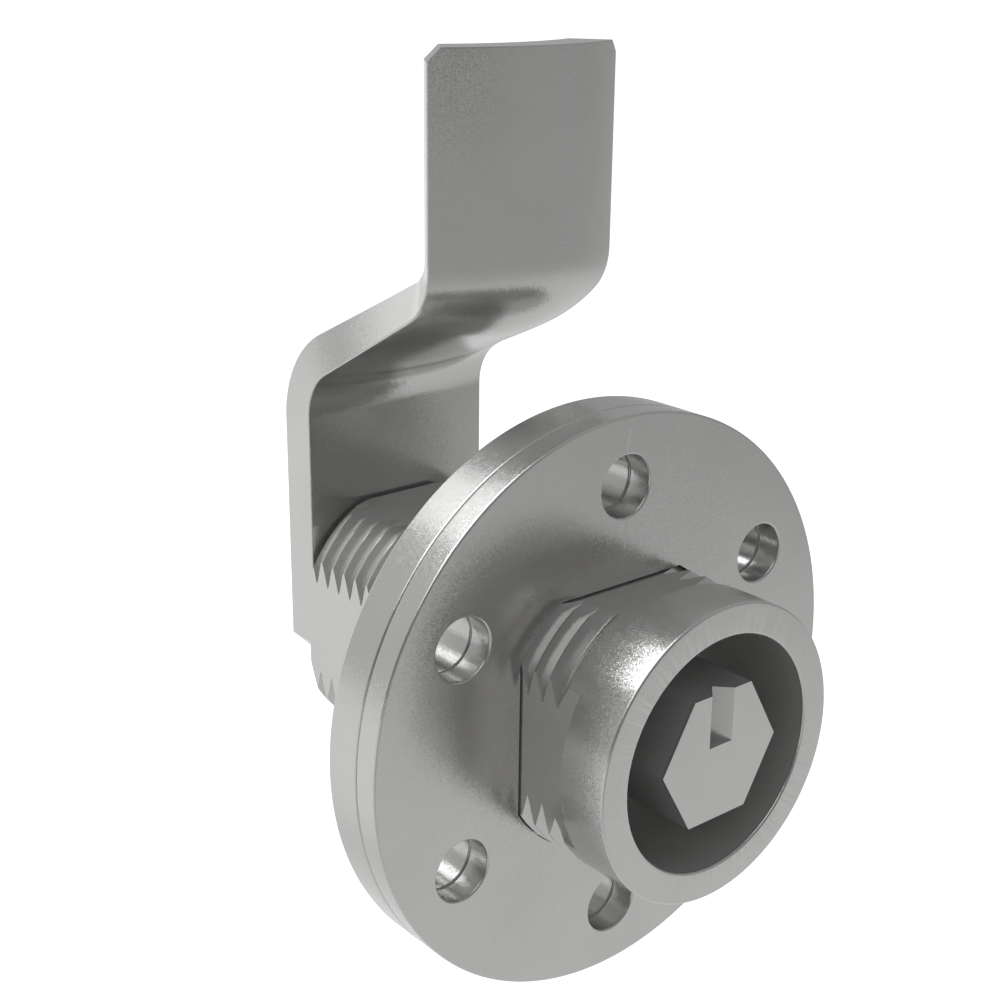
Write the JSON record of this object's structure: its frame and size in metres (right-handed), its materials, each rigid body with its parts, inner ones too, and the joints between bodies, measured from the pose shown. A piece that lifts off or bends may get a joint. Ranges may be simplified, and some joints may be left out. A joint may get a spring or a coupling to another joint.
{
  "type": "compression latch",
  "caption": "Flange-mounted compression latch: threaded housing, recessed hexagon key post, and a bent cam that swings aside and is drawn in tight.",
  "frame": {"origin": "on the latch axis, in the rear face of the mounting flange", "axes": "+Y along the latch axis from the head to the cam, +Z along the closed cam towards its tongue, +X to the right seen from the head"},
  "size_m": [0.0596, 0.0618, 0.0923],
  "materials": {
    "housing_steel": "satin stainless steel",
    "flange_steel": "satin stainless steel",
    "cam_steel": "satin stainless steel",
    "spindle_steel": "satin stainless steel",
    "inner_steel": "ground steel",
    "pin_steel": "ground steel",
    "spring_steel": "spring steel",
    "screw_steel": "stainless steel",
    "bronze": "bearing bronze",
    "seal_rubber": "nitrile rubber"
  },
  "bodies": {
    "housing": {"housing": "housing_steel", "keyed_plate": "flange_steel", "threaded_flange": "flange_steel", "end_bush": "bronze", "end_retaining_ring": "spring_steel", "rod_seal": "seal_rubber", "bush_seal": "seal_rubber", "rotor_stop_pin": "pin_steel", "wave_washer": "spring_steel", "rotor_thrust_washer": "bronze"},
    "rotor": {"rotor_sleeve": "inner_steel", "spindle_rear_washer": "bronze"},
    "spindle": {"spindle": "spindle_steel", "spindle_seal": "seal_rubber", "spindle_front_washer": "bronze"},
    "draw_rod": {"draw_rod": "inner_steel", "cross_pin": "pin_steel", "cam": "cam_steel", "cam_screw": "screw_steel", "cam_washer": "screw_steel", "cam_lock_washer": "spring_steel"}
  },
  "joints": [
    {"name": "cam_swing", "type": "hinge", "parent": "housing", "child": "rotor", "pos_m": [0, 0, 0], "axis": [0, -1, 0], "range_deg": [0, 90]},
    {"name": "spindle_turn", "type": "hinge", "parent": "rotor", "child": "spindle", "pos_m": [0, 0, 0], "axis": [0, -1, 0], "range_deg": [0, 90]},
    {"name": "cam_extend", "type": "slide", "parent": "rotor", "child": "draw_rod", "axis": [0, 1, 0], "range_m": [0, 0.006]}
  ],
  "couplings": [
    {"joint": "spindle_turn", "follows": "cam_extend", "rad_per_m": 261.8}
  ]
}
